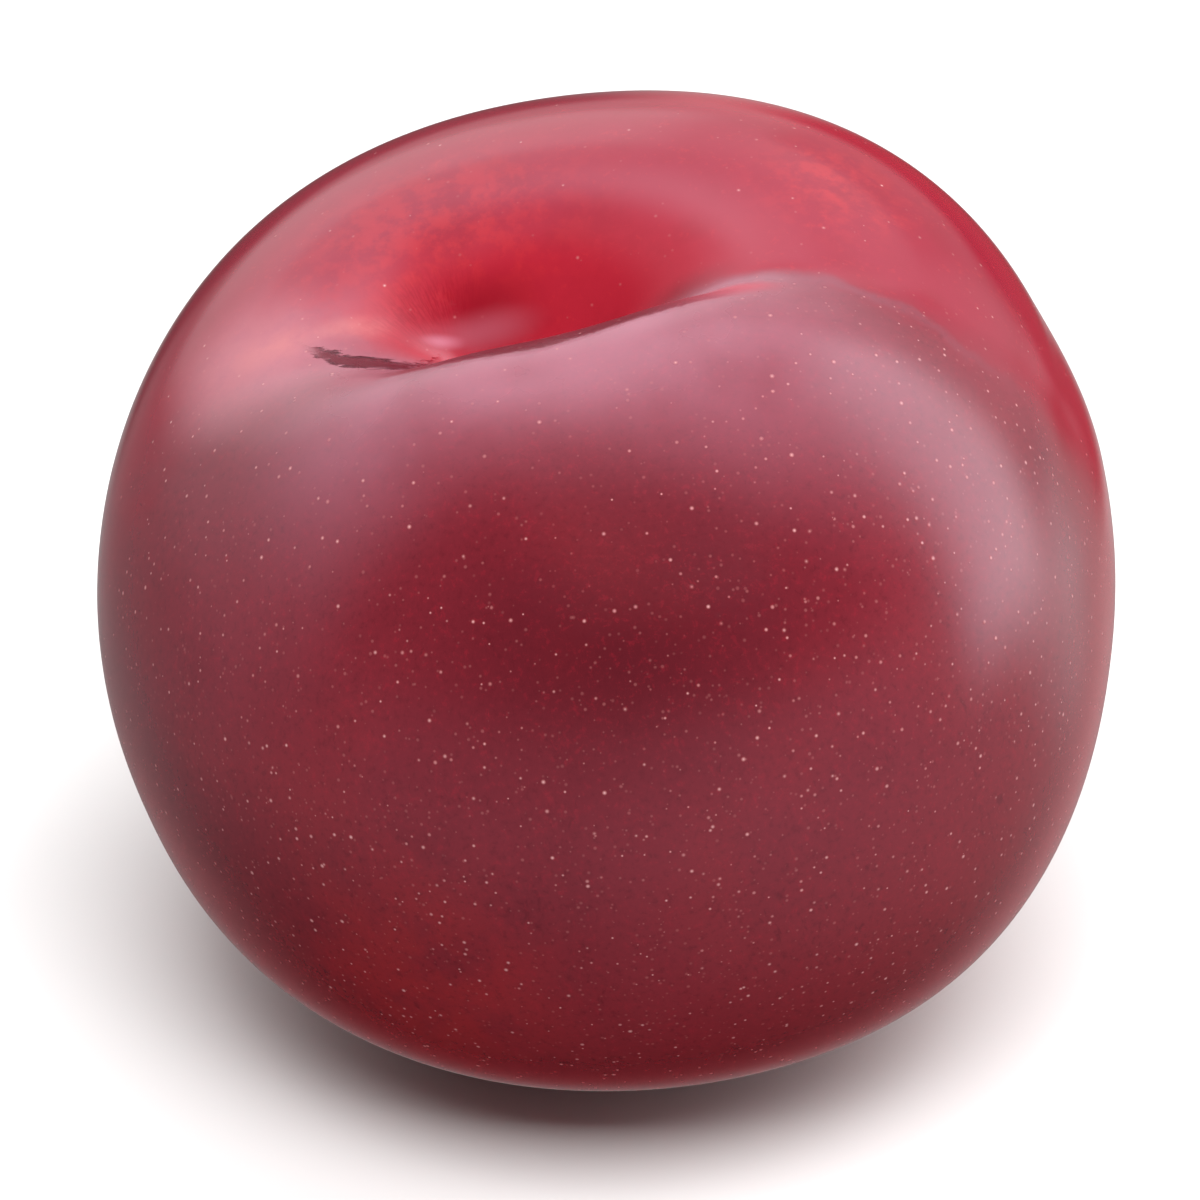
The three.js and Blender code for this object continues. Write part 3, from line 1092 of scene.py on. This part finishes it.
def make_room():
    world = bpy.data.worlds.new("room")
    bpy.context.scene.world = world
    world.use_nodes = True
    tree = world.node_tree
    direction = read(tree, "ShaderNodeTexCoord", "Generated")
    x, y, z = parts_of(direction)
    elevation = z.of("ARCSINE").of("DEGREES")
    light = floor_glow(x, y, elevation) * FLOOR_LIGHT
    light = light + cloth_glow(x, y, elevation) * CLOTH_LIGHT
    for values in PANELS.values():
        light = light + panel(tree, direction, *values)
    for values in BLACK_CARDS.values():
        light = light * (1.0 - panel(tree, direction, *values))
    light = between(light, 1.0, read(tree, "ShaderNodeLightPath", "Is Camera Ray"))
    feed(tree, tree.nodes["Background"].inputs["Color"], light)


make_room()
bpy.context.scene.view_settings.view_transform = "Standard"
print("room:", ", ".join([*PANELS, *BLACK_CARDS]))

# %% [markdown]
# One more light does most of the work on the table and on the colour of the skin: a
# big soft lamp, high at the front. Its own image would hide the dark middle of the
# cheek, so it isn't shown to reflections, as a polarising filter would do.

# %% Main lamp
def soft_lamp(name, azimuth, elevation, half_width, half_height, brightness, roll,
              distance):
    light = bpy.data.lights.new(name, "AREA")
    light.shape = "RECTANGLE"
    light.size = 2 * distance * math.tan(math.radians(half_width))
    light.size_y = 2 * distance * math.tan(math.radians(half_height))
    light.energy = brightness * math.pi * light.size * light.size_y
    lamp = bpy.data.objects.new(name, light)
    towards = direction_to(azimuth, elevation)
    across = Matrix.Rotation(math.radians(roll), 3, towards) @ direction_to(azimuth + 90, 0)
    axes = Matrix((across, towards.cross(across), towards)).transposed()
    lamp.rotation_euler = axes.to_euler()
    lamp.location = MIDDLE + towards * distance
    lamp.visible_camera = False
    lamp.visible_glossy = False
    bpy.context.scene.collection.objects.link(lamp)
    return lamp


main_lamp = soft_lamp("main_lamp", azimuth=7, elevation=60, half_width=20, half_height=15,
                      brightness=15.2, roll=-8, distance=0.9)
print("main lamp:", round(main_lamp.data.energy, 1), "W")

# %% [markdown]
# ## Camera
# A long lens from 350 mm, 30 degrees above the table, looks at the front cheek. Its
# frame is 68.4 mm wide at the fruit, whose middle is a little off the frame's.

# %% Camera
VIEW_HEIGHT = math.radians(30)
DISTANCE = 350 * MM
FRAME_SIDE = 68.4 * MM
SHIFT_LEFT = 1.083 * MM
SHIFT_UP = 0.416 * MM
camera_data = bpy.data.cameras.new("camera")
camera_data.lens = camera_data.sensor_width * DISTANCE / FRAME_SIDE
camera_data.clip_start = 0.01
camera = bpy.data.objects.new("camera", camera_data)
bpy.context.scene.collection.objects.link(camera)
back = Vector((0, -math.cos(VIEW_HEIGHT), math.sin(VIEW_HEIGHT)))
right = Vector((1, 0, 0))
up = back.cross(right)
camera.location = MIDDLE + back * DISTANCE - right * SHIFT_LEFT + up * SHIFT_UP
camera.rotation_euler = back.to_track_quat("Z", "Y").to_euler()
bpy.context.scene.camera = camera
print("camera at", [round(c, 3) for c in camera.location])
